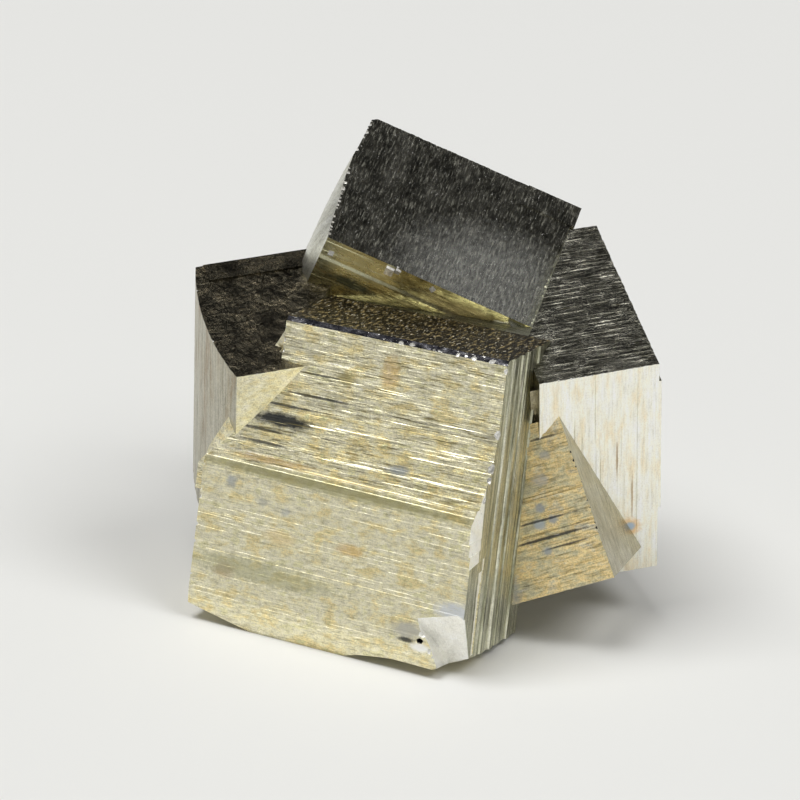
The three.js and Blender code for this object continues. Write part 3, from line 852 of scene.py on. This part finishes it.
def finish(skin, axes, colours, lines, roughness=0.34, bump=0.4, tarnish=(0.9, 1, 1.5), streak=0.5,
           mottle=0.3, grain=0.3, metal=1, glitters=(), spots=(), relief_depth=GRAIN):
    """A pyrite face."""
    tree, shader, local = skin_tree(skin, axes)
    wide = noise_node(tree, local, tarnish, 6, 0.62)
    small = noise_node(tree, local, SPECK_PACE, 4, 0.7)
    fine = noise_node(tree, local, FINE_PACE, 2, 0.6)
    thin = noise_node(tree, local, lines, 4, 0.75)
    colour = ramp_node(tree, wide, colours)
    colour = shade_by(tree, colour, small, mottle, (0.5, 0.47, 0.4), (1.25, 1.22, 1.15))
    colour = shade_by(tree, colour, fine, grain, (0.35, 0.34, 0.3), (1.4, 1.4, 1.4))
    colour = shade_by(tree, colour, thin, streak, (0.3, 0.28, 0.22), (1.2, 1.2, 1.2))
    # Spots: tarnish, and on some faces painted shade, reflection or highlight.
    for centre, radii, tint, strength in spots:
        patch = patch_node(tree, local, centre, radii, small)
        share = range_node(tree, patch, 0, 1, 0, strength)
        colour = mix_node(tree, share, colour, (*tint, 1))
    metallic = None
    # Glitters are painted specks: the light ones are painted glints, the dark ones mostly painted dark lines.
    for pace, low, high, tint, speck_metal in glitters:
        share = range_node(tree, noise_node(tree, local, pace, 3, 0.75), low, high, 0, 1)
        colour = mix_node(tree, share, colour, (*tint, 1))
        lowered = range_node(tree, share, 0, 1, metal, speck_metal)
        if metallic is None:
            metallic = lowered
        else:
            least = tree.nodes.new("ShaderNodeMath")
            least.operation = "MINIMUM"
            tree.links.new(metallic, least.inputs[0])
            tree.links.new(lowered, least.inputs[1])
            metallic = least.outputs["Value"]
    tree.links.new(colour, shader.inputs["Base Color"])
    shader.inputs["Metallic"].default_value = metal
    if metallic is not None:
        tree.links.new(metallic, shader.inputs["Metallic"])
    gloss = range_node(tree, thin, 0.3, 0.7, roughness + GLOSS_SPAN, roughness - GLOSS_SPAN)
    tree.links.new(gloss, shader.inputs["Roughness"])
    hair = noise_node(tree, local, tuple(s * HAIR_PACE for s in lines), 4, 0.75)
    relief = tree.nodes.new("ShaderNodeBump")
    relief.inputs["Strength"].default_value = bump
    relief.inputs["Distance"].default_value = relief_depth
    tree.links.new(hair, relief.inputs["Height"])
    tree.links.new(relief.outputs["Normal"], shader.inputs["Normal"])


# %% [markdown]
# Now each face gets its own colours. Most are those of the metal itself: what the eye sees is this colour
# times what the face mirrors, so a face that looks dark is often a pale metal that mirrors something dark.
# On some faces light is painted into the colour as well. The dark tops and the worn edge get dark colours as
# painted dark reflection, and the cream front and the fresh breaks get near-white ones as painted highlight.

# %% Colours that several faces share
BLUE, RUST, GREEN, ORANGE = (0.36, 0.4, 0.45), (0.42, 0.26, 0.12), (0.42, 0.42, 0.26), (0.66, 0.42, 0.14)
NEAR_BLACK, SILVER, WHITE = (0.04, 0.045, 0.05), (0.9, 0.88, 0.82), (1, 0.99, 0.95)
FRONT_COLOURS = [(0.3, (0.7, 0.68, 0.42)), (0.38, (0.84, 0.72, 0.4)), (0.47, (0.84, 0.79, 0.55)),
                 (0.55, (0.85, 0.81, 0.63)), (0.63, (0.8, 0.76, 0.48)), (0.72, (0.78, 0.76, 0.6))]
# Painted dark reflection: the dark tops are pale brass too, darkened in colour to look as dark as what they
# mirror.
PAINTED_DARK_COLOURS = [(0.35, (0.07, 0.068, 0.055)), (0.5, (0.2, 0.195, 0.16)), (0.65, (0.42, 0.41, 0.35))]
PAINTED_DARKER_COLOURS = [(0.35, (0.03, 0.027, 0.02)), (0.5, (0.1, 0.09, 0.065)), (0.65, (0.22, 0.19, 0.13))]
print("brass of the front:", len(FRONT_COLOURS), "colours from olive to cream")

# %% [markdown]
# The front is a pale brass with straw and olive patches. Its streaks are the strongest of all, because its
# lamellae are. Dark streaks gather at its left end, where thick lamellae overhang; they are painted shade and
# painted dark reflection. A few round spots of brown, orange and blue tarnish lie on it, and its glitters are
# painted dark reflections and white painted glints.

# %% Finish of the front crystal's front
FRONT_SPOTS = [
    ((-7.6, -0.1, -2.3), (0.5, 1, 0.35), (0.3, 0.26, 0.12), 0.7),
    ((-5.5, -0.1, -1.6), (0.45, 1, 0.8), ORANGE, 0.5),
    ((-4.3, -0.4, -5.8), (0.6, 1, 0.25), BLUE, 0.7),
    # The near-black spots below are painted shade and dark reflection of the overhanging lamellae at the left
    # end.
    ((-10.3, -0.4, -4.75), (1.5, 1, 0.33), NEAR_BLACK, 0.95),
    ((-8.8, -0.2, -3.4), (1.7, 1, 0.07), NEAR_BLACK, 0.85),
    ((-8.8, -0.2, -2.38), (1, 1, 0.06), NEAR_BLACK, 0.8),
    ((-11, -0.5, -5.87), (1.2, 1, 0.07), NEAR_BLACK, 0.8),
    ((-10.2, -0.2, -4.05), (1.6, 1, 0.06), NEAR_BLACK, 0.85),
    ((-11.2, -0.3, -5.3), (1.3, 1, 0.08), NEAR_BLACK, 0.8),
    ((-10.3, -0.4, -6.6), (2.2, 1, 0.2), ORANGE, 0.5),
]
# Painted reflections: dark streaks where ledges mirror the dark room, and white painted glints.
FRONT_GLITTERS = [
    ((0.5, 3, 11), 0.57, 0.66, (0.22, 0.19, 0.09), 1),
    ((0.7, 4, 14), 0.64, 0.72, (1, 0.98, 0.92), 0.6),
]
finish(skins[LAMELLAE], FRONT, FRONT_COLOURS, (1.1, 3, 15), 0.34, 0.5, streak=0.9,
       spots=FRONT_SPOTS, glitters=FRONT_GLITTERS)
print("front:", len(FRONT_SPOTS), "spots")

# %% [markdown]
# The slab has the same brass and fewer streaks. Its spots stand in for the green band low at the left, the
# freckles near its left end, the bluish lip over the broken corner with a dark and a white fleck beside it,
# the darker slope above its rim, which is a painted dark reflection, and a painted gold highlight along the
# ridge of the rim. Its white glitters are painted glints.

# %% Finish of the slab
SLAB_SPOTS = [
    ((-11.9, 0, -4.6), (0.55, 1, 0.4), RUST, 0.5),
    ((-10, 0, -4.35), (4, 1, 0.55), GREEN, 0.55),
    ((-12.04, 0, -0.45), (0.3, 1, 0.28), BLUE, 0.6),
    ((-10.4, 0, -1.08), (0.3, 1, 0.26), (0.5, 0.5, 0.45), 0.5),
    ((-9.2, 0, -1.27), (0.25, 1, 0.2), BLUE, 0.4),
    ((-5.8, 0, -2.3), (0.7, 1, 0.3), ORANGE, 0.5),
    ((-9.3, 0, -2.5), (0.8, 1, 0.4), (0.78, 0.6, 0.28), 0.5),
    ((-0.45, 0, 1.1), (0.6, 1, 0.3), ORANGE, 0.6),
    ((-0.2, 0, -3.95), (1.1, 1, 0.45), (0.7, 0.74, 0.8), 0.8),
    ((-2.5, 0, -5.3), (0.8, 1, 0.4), (0.5, 0.49, 0.44), 0.8),
    ((-2.5, 0, -5.75), (0.45, 1, 0.12), NEAR_BLACK, 0.9),
    ((-1.75, 0, -5.95), (0.5, 1, 0.22), (1, 1, 0.98), 0.9),
    # Painted dark reflection: the slope above the rim, darker for what it mirrors.
    ((-7, 0, 0.28), (7.5, 1, 0.3), (0.42, 0.4, 0.22), 0.7),
    # Painted highlight: a gold line along the rounded ridge of the rim.
    ((-7.5, 0, 0.72), (4.5, 1, 0.07), (0.95, 0.8, 0.45), 0.8),
]
# The white glitters of the slab are painted glints.
SLAB_GLITTERS = [
    ((1.2, 5, 18), 0.72, 0.78, (1, 0.98, 0.92), 0.7),
    ((1.3, 4, 12), 0.63, 0.74, (0.5, 0.47, 0.27), 1),
]
finish(skins[SLAB_FACE], SLAB, FRONT_COLOURS, (1.6, 4, 13), 0.38, 0.5, streak=0.5, mottle=0.35, grain=0.2,
       spots=SLAB_SPOTS, glitters=SLAB_GLITTERS)
finish(skins[UNDER], SLAB, FRONT_COLOURS, (2, 2, 4), 0.5, 0.5, streak=0.3, mottle=0.5, grain=0.4, metal=0.3)
print("slab:", len(SLAB_SPOTS), "spots")

# %% [markdown]
# The tops mirror the dark upper half of the room, and their dark colours add painted dark reflection to it.
# On them fine specks glitter, drawn out along the growth lines: to the back on the top crystal, from side to
# side on the right one, and round on the left one, which is rough. The pale, grey and silver specks are
# painted glints. The top crystal is lighter towards its lower right corner, a painted sheen.

# %% Finish of the dark tops
finish(skins[TOP_DARK], TOP, PAINTED_DARK_COLOURS, (11, 1.6, 11), 0.26, 1, (1, 0.7, 1), 1, 0.6, 0.6,
       # The wide pale spot towards the lower right corner is a painted sheen.
       spots=[((-1.8, 1, 0), (5, 4.5, 1), (1, 1, 0.9), 0.9)],
       # The pale, grey and silver glitters here and on the two tops below are painted glints.
       glitters=[((12, 1.4, 12), 0.52, 0.72, (0.58, 0.57, 0.47), 0.6),
                 ((12, 3, 12), 0.64, 0.71, SILVER, 0.3)])
finish(skins[LEFT_DARK], LEFT, PAINTED_DARKER_COLOURS, (7, 7, 7), 0.24, 1, (1, 1, 1), 0.8, 0.7, 0.7,
       glitters=[((6, 6, 6), 0.66, 0.78, (0.22, 0.16, 0.08), 0.75), ((11, 11, 11), 0.72, 0.78, SILVER, 0.5)])
finish(skins[RIGHT_DARK], RIGHT, PAINTED_DARK_COLOURS, (1.2, 11, 11), 0.24, 1, (1, 1, 1), 1, 0.6, 0.6,
       glitters=[((0.5, 9, 9), 0.7, 0.77, (0.9, 0.88, 0.8), 0.5), ((10, 10, 10), 0.71, 0.77, SILVER, 0.5)])
print("dark tops: 3")

# %% [markdown]
# The narrow top of the front crystal is brown with golden specks, its worn edge is blue-black with silver
# ones, and its right side has light and dark upright streaks. The brown and the blue-black are painted dark
# reflection, and the golden, silver and white specks are painted glints.

# %% Finish of the front crystal's top, edge and side
# Painted dark reflection: the narrow top is pale brass too, made near black to look as dark as what it
# mirrors.
PAINTED_DARK_NARROW_TOP_COLOURS = [(0.4, (0.03, 0.027, 0.018)), (0.6, (0.1, 0.08, 0.045)), (0.8, (0.25, 0.2, 0.1))]
# Painted dark reflection: the worn bevel is made blue-black to look as dark as what it mirrors.
PAINTED_DARK_EDGE_COLOURS = [(0.4, (0.008, 0.008, 0.01)), (0.55, (0.025, 0.025, 0.028)), (0.7, (0.1, 0.1, 0.11))]
RIB_COLOURS = [(0.36, (0.26, 0.26, 0.17)), (0.5, (0.58, 0.58, 0.44)), (0.64, (0.85, 0.84, 0.7))]
# The golden and pale glitters of the narrow top are painted glints.
NARROW_TOP_GLITTERS = [
    ((7, 1.8, 7), 0.53, 0.65, (0.55, 0.42, 0.18), 0.4),
    ((10, 2.5, 10), 0.6, 0.67, (1, 0.92, 0.7), 0.1),
]
# The white glitters of the ribbed side are painted glints.
RIB_GLITTERS = [
    ((12, 14, 0.3), 0.62, 0.7, (1, 0.98, 0.9), 0.6),
    ((9, 11, 0.3), 0.58, 0.68, (0.12, 0.11, 0.07), 1),
]
finish(skins[FRONT_TOP], FRONT, PAINTED_DARK_NARROW_TOP_COLOURS, (4, 2, 4), 0.42, 1, (1, 1, 1), 0.6, 0.8, 0.8,
       glitters=NARROW_TOP_GLITTERS)
finish(skins[WORN_PAINTED_DARK], FRONT, PAINTED_DARK_EDGE_COLOURS, (6, 6, 6), 0.3, 1, (2, 3, 3), 0.6, 0.6, 0.6,
       # The silver glitters of the worn edge are painted glints.
       glitters=[((4, 9, 9), 0.64, 0.7, SILVER, 0.6)])
finish(skins[RIBBED], FRONT, RIB_COLOURS, (10, 18, 0.3), 0.3, 0.4, (0.7, 5, 0.2), 1, 0.3, 0.2,
       glitters=RIB_GLITTERS)
print("front crystal: top, edge and side")

# %% [markdown]
# The top crystal's narrow front is olive, bright at its left end, with wide dark bands of painted dark
# reflection and a white sliver at its right tip. The left crystal's little triangle is a paler brass.

# %% Finish of the small fronts
OLIVE_COLOURS = [(0.35, (0.18, 0.18, 0.12)), (0.47, (0.42, 0.38, 0.2)), (0.6, (0.58, 0.54, 0.3)),
                 (0.7, (0.55, 0.4, 0.2))]
PALE_COLOURS = [(0.35, (0.74, 0.67, 0.42)), (0.5, (0.82, 0.79, 0.61)), (0.65, (0.84, 0.82, 0.72))]
OLIVE_SPOTS = [
    # The two wide dark spots are painted dark reflection.
    ((-3.6, 0, -1.9), (4.4, 1, 0.6), (0.16, 0.13, 0.06), 0.7),
    ((-2.6, 0, -0.8), (3.3, 1, 0.55), (0.15, 0.12, 0.06), 0.9),
    ((-8.3, 0, -1.9), (1.1, 1, 0.3), (0.08, 0.11, 0.11), 0.8),
    ((-8.9, 0, -0.7), (2.4, 1, 0.9), (0.95, 0.93, 0.62), 0.95),
    ((-1.1, 0, -0.52), (0.5, 1, 0.12), WHITE, 0.95),
    ((-0.5, 0, -0.33), (0.6, 1, 0.14), WHITE, 0.95),
]
finish(skins[OLIVE], TOP, OLIVE_COLOURS, (1.6, 5, 11), 0.3, 0.6, (0.8, 1, 2), 0.8, 0.5, spots=OLIVE_SPOTS)
finish(skins[PALE], LEFT, PALE_COLOURS, (4, 3, 9), 0.34, 0.3, (1.5, 1, 2.5), 0.3, metal=0.85)
print("olive front:", len(OLIVE_SPOTS), "spots")

# %% [markdown]
# The slanted crystal is the most golden one. Dark lines of painted shadow lie under its ledges, with
# blue-grey freckles between them, and a bluish tarnish at its left. Its white glitters are painted glints.

# %% Finish of the slanted crystal
GOLD_COLOURS = [(0.3, (0.5, 0.47, 0.34)), (0.42, (0.68, 0.62, 0.41)), (0.55, (0.88, 0.7, 0.36)),
                (0.7, (0.74, 0.7, 0.56))]
GOLD_SPOTS = [
    ((-2.29, 0, -3.85), (0.26, 1, 0.24), BLUE, 0.8),
    ((-1.87, 0, -4.5), (0.24, 1, 0.22), BLUE, 0.8),
    ((-2.56, 0, -4.6), (0.3, 1, 0.26), (0.5, 0.56, 0.62), 0.8),
    ((-2.6, 0, -5.86), (0.22, 1, 0.2), BLUE, 0.8),
    ((-1.85, 0, -2.6), (0.4, 1, 0.3), (0.55, 0.53, 0.5), 0.7),
    ((-1.24, 0, -1.55), (0.3, 1, 0.2), (0.5, 0.5, 0.5), 0.6),
    # Painted shadows: near-black lines under the ledges.
    ((-2.3, 0, -5.26), (2.4, 1, 0.08), NEAR_BLACK, 0.9),
    ((-2.3, 0, -4.42), (1.7, 1, 0.06), NEAR_BLACK, 0.85),
    ((-1.5, 0, -5.77), (1.2, 1, 0.05), NEAR_BLACK, 0.8),
    ((-1, 0, -0.76), (0.9, 1, 0.06), NEAR_BLACK, 0.8),
    ((-4.9, 0, -6.6), (0.5, 1, 1.6), BLUE, 0.6),
]
finish(skins[GOLD], SLANTED, GOLD_COLOURS, (0.9, 3, 11), 0.34, 0.5, (0.9, 1, 1.6), 0.75, 0.4,
       spots=GOLD_SPOTS, glitters=[((0.8, 4, 14), 0.66, 0.74, (0.95, 0.92, 0.85), 0.7)])
print("slanted crystal:", len(GOLD_SPOTS), "spots")

# %% [markdown]
# The right crystal's front is the brightest face, a cream with thin rusty lines and one orange spot with a
# blue middle. Its cream is whiter than the brass of the other faces, a painted highlight over the bright
# floor
# that it mirrors. The sides are quiet: warm brown at the left, grey on the top crystal and smoky brass
# elsewhere, also where the photograph doesn't show them.

# %% Finish of the right crystal's front and of the sides
# Near-white cream: painted highlight on a face that mirrors the bright floor.
CREAM_COLOURS = [(0.35, (0.97, 0.87, 0.66)), (0.5, (1, 0.98, 0.87)), (0.65, (1, 1, 0.97))]
WARM_COLOURS = [(0.35, (0.36, 0.28, 0.18)), (0.45, (0.46, 0.43, 0.33)), (0.65, (0.52, 0.5, 0.42))]
GREY_COLOURS = [(0.35, (0.64, 0.63, 0.54)), (0.5, (0.78, 0.78, 0.69)), (0.65, (0.86, 0.86, 0.8))]
SMOKY_COLOURS = [(0.3, (0.38, 0.34, 0.22)), (0.5, (0.5, 0.46, 0.33)), (0.7, (0.58, 0.55, 0.44))]
CREAM_SPOTS = [
    ((-1.31, 0, -9.27), (0.5, 1, 0.55), (0.85, 0.55, 0.22), 0.8),
    ((-1.31, 0, -9.22), (0.26, 1, 0.26), (0.4, 0.52, 0.66), 0.9),
    ((-1.95, 0, -5.17), (0.05, 1, 1.1), RUST, 0.7),
    ((-1.22, 0, -7.4), (0.05, 1, 1.3), RUST, 0.7),
]
finish(skins[CREAM], RIGHT, CREAM_COLOURS, (9, 3, 0.6), 0.36, 0.35, (1.8, 1, 0.4), 0.2, 0.08, 0.12,
       spots=CREAM_SPOTS)
finish(skins[WARM], LEFT, WARM_COLOURS, (9, 9, 0.4), 0.36, 0.4, (1, 1.6, 0.35), 0.5)
finish(skins[GREY], TOP, GREY_COLOURS, (9, 6, 0.8), 0.36, 0.4, (1, 1.2, 0.5), 0.3)
finish(skins[SMOKY], SLANTED, SMOKY_COLOURS, (6, 6, 1), 0.3, 0.4, (0.6, 1, 0.6), 0.5, 0.15, 0.12)
print("right crystal's front:", len(CREAM_SPOTS), "spots")

# %% [markdown]
# Fresh breaks are not tarnished, so all of them are pale, and their near-white colour is partly painted
# highlight as well. The smooth facet at the slab's end and the chips are less of a mirror than the grown
# faces and stay bright from every side. The broken corner is metal with a coarse bump, which scatters what it
# mirrors.

# %% Finish of the cuts and chips
# Near white: untarnished breaks, made whiter still as painted highlight.
END_COLOURS = [(0.35, (1, 0.97, 0.83)), (0.65, (1, 0.99, 0.92))]
BREAK_COLOURS = [(0.35, (0.95, 0.94, 0.88)), (0.65, (1, 0.995, 0.96))]
CHIP_COLOURS = [(0.4, (0.55, 0.54, 0.5)), (0.6, (0.95, 0.94, 0.9))]
finish(skins[END], SLAB, END_COLOURS, (2, 2, 1), 0.34, 0.2, streak=0.1, mottle=0.1, grain=0.1, metal=0.25)
finish(skins[BREAK], SLAB, BREAK_COLOURS, (1.3, 1.3, 1.3), 0.42, 0.8, streak=0.1, mottle=0.1, grain=0.1,
       relief_depth=5 * GRAIN)
finish(skins[CHIP], FRONT, CHIP_COLOURS, (4, 4, 4), 0.2, 0.3, (3, 3, 3), 0.3, 0.2, metal=0.3)
print("finishes:", [skin.name for skin in skins])

# %% [markdown]
# The stage is a plain pale floor that runs far past the view, so the metal has something bright to mirror.
# The dark tops mirror the upper half of the room behind the specimen, so that half is left dark, and the
# room is grey only near the horizon. Two large soft lights hang high in front, a strong one at the left and
# a weaker one at the right, out of the view of those mirrors.

# %% Floor
FLOOR_RADIUS = 2.5
floor_mesh = bmesh.new()
bmesh.ops.create_circle(floor_mesh, cap_ends=True, segments=64, radius=FLOOR_RADIUS)
floor_data = bpy.data.meshes.new("floor")
floor_mesh.to_mesh(floor_data)
floor_mesh.free()
floor = bpy.data.objects.new("floor", floor_data)
bpy.context.scene.collection.objects.link(floor)
paper = bpy.data.materials.new("pale_floor")
paper.use_nodes = True
paper_shader = paper.node_tree.nodes["Principled BSDF"]
paper_shader.inputs["Base Color"].default_value = (0.8, 0.8, 0.775, 1)
paper_shader.inputs["Roughness"].default_value = 0.9
paper_shader.inputs["Specular IOR Level"].default_value = 0.1
floor_data.materials.append(paper)
print("floor radius in metres:", FLOOR_RADIUS)


# %% Lights
def soft_light(name, heading, elevation, distance, size, power):
    """A rectangular soft light, by its direction from the specimen."""
    light = bpy.data.lights.new(name, "AREA")
    light.shape = "RECTANGLE"
    light.size, light.size_y = size
    light.energy = power
    holder = bpy.data.objects.new(name, light)
    bpy.context.scene.collection.objects.link(holder)
    heading, elevation = math.radians(heading), math.radians(elevation)
    way = Vector((math.cos(heading) * math.cos(elevation), math.sin(heading) * math.cos(elevation),
                  math.sin(elevation)))
    holder.location = way * distance
    holder.rotation_euler = way.to_track_quat("Z", "Y").to_euler()


soft_light("key", -155, 71, 1.5, (0.8, 0.8), 15.5)
soft_light("fill", -35, 56, 1.6, (0.8, 0.8), 10.5)
print("lights:", [light.name for light in bpy.data.lights])

# %% Room
world = bpy.data.worlds.new("room")
world.use_nodes = True
room = world.node_tree
where = room.nodes.new("ShaderNodeTexCoord")
split = room.nodes.new("ShaderNodeSeparateXYZ")
room.links.new(where.outputs["Generated"], split.inputs["Vector"])
sky = ramp_node(room, split.outputs["Z"], [(0, (0.55, 0.55, 0.54)), (0.25, (0.3, 0.3, 0.3)),
                                           (0.6, (0.07, 0.07, 0.072)), (0.8, (0.02, 0.02, 0.022))])
room.links.new(sky, room.nodes["Background"].inputs["Color"])
bpy.context.scene.world = world
bpy.context.scene.view_settings.view_transform = "Standard"
print("room: grey at the horizon, dark above")

# %% [markdown]
# The camera looks down by 21 degrees and is rolled by 4, through a long lens, as in the photograph.

# %% Camera
SENSOR, FOCAL_LENGTH_IN_PIXELS, PICTURE_WIDTH = 36, 7760, 800
CAMERA_PLACE = Vector((-1.278, -333.397, 137.14))
camera_data = bpy.data.cameras.new("camera")
camera_data.sensor_width = SENSOR
camera_data.lens = FOCAL_LENGTH_IN_PIXELS / PICTURE_WIDTH * SENSOR
camera_data.clip_start = 0.01
camera = bpy.data.objects.new("camera", camera_data)
right_way, up_way, back_way = (0.99757, 0.025, 0.06512), (-0.06975, 0.3575, 0.9313), (0, -0.93358, 0.35837)
turn = Matrix((right_way, up_way, back_way)).transposed().to_4x4()
camera.matrix_world = Matrix.Translation(CAMERA_PLACE * MM) @ turn
bpy.context.scene.collection.objects.link(camera)
bpy.context.scene.camera = camera
print("camera at", tuple(round(c, 4) for c in camera.location))
